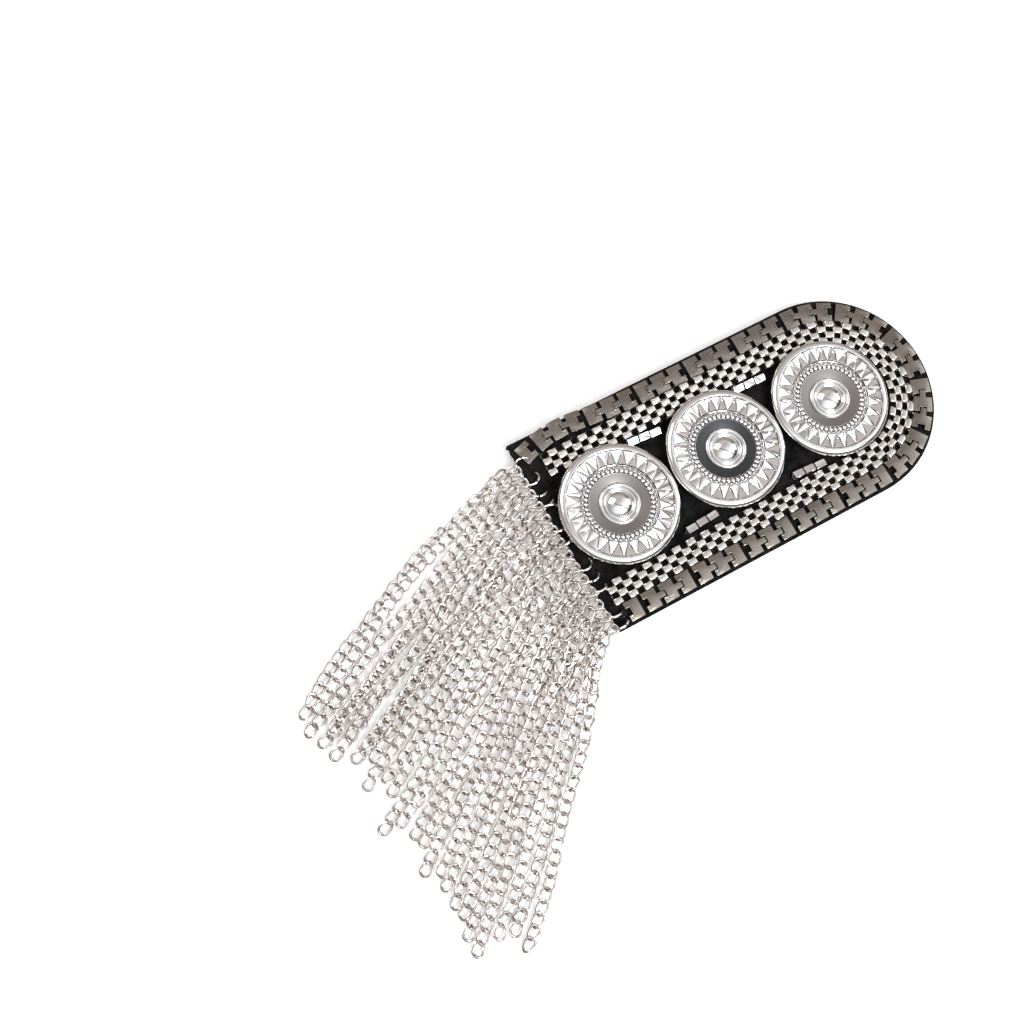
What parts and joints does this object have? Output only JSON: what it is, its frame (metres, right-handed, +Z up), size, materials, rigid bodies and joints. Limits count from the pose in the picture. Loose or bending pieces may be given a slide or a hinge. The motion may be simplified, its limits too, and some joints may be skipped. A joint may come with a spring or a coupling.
{
  "type": "chain fringe epaulette",
  "caption": "Black felt shoulder piece with round relief discs, a woven metal mesh, a border of linked plates and a fringe of loose curb chains along its straight edge.",
  "frame": {"origin": "centre of the pin bar's underside, which is under the middle of the pad, on the surface that the epaulette lies on", "axes": "+X along the pad from its chain edge to its round end, +Z up out of the felt's face, +Y across the pad towards the side that shows farther away in the picture"},
  "size_m": [0.1829, 0.1089, 0.0087],
  "materials": {
    "black_felt": "matt black felt with a short nap",
    "plate_metal": "satin nickel plate with bright worn edges",
    "mesh_metal": "bright woven nickel-plated metal",
    "disc_plating": "polished silver plating over a relief, with a satin ring",
    "bead_metal": "polished silver-coloured metal",
    "thread": "black sewing thread",
    "chain_metal": "bright nickel-plated wire",
    "pin_steel": "plain nickel-plated steel"
  },
  "bodies": {
    "root": {"backing_pad": "black_felt", "front_plates": "plate_metal", "rear_plates": "plate_metal", "mesh_band": "mesh_metal", "disc_1": "disc_plating", "disc_2": "disc_plating", "disc_3": "disc_plating", "bead_row_1": "bead_metal", "bead_row_2": "bead_metal", "bead_row_3": "bead_metal", "bead_row_4": "bead_metal", "bead_thread_1": "thread", "bead_thread_2": "thread", "bead_thread_3": "thread", "bead_thread_4": "thread", "jump_rings": "chain_metal", "lower_fringe": "chain_metal", "upper_fringe": "chain_metal", "pin_bar": "pin_steel"}
  },
  "joints": []
}
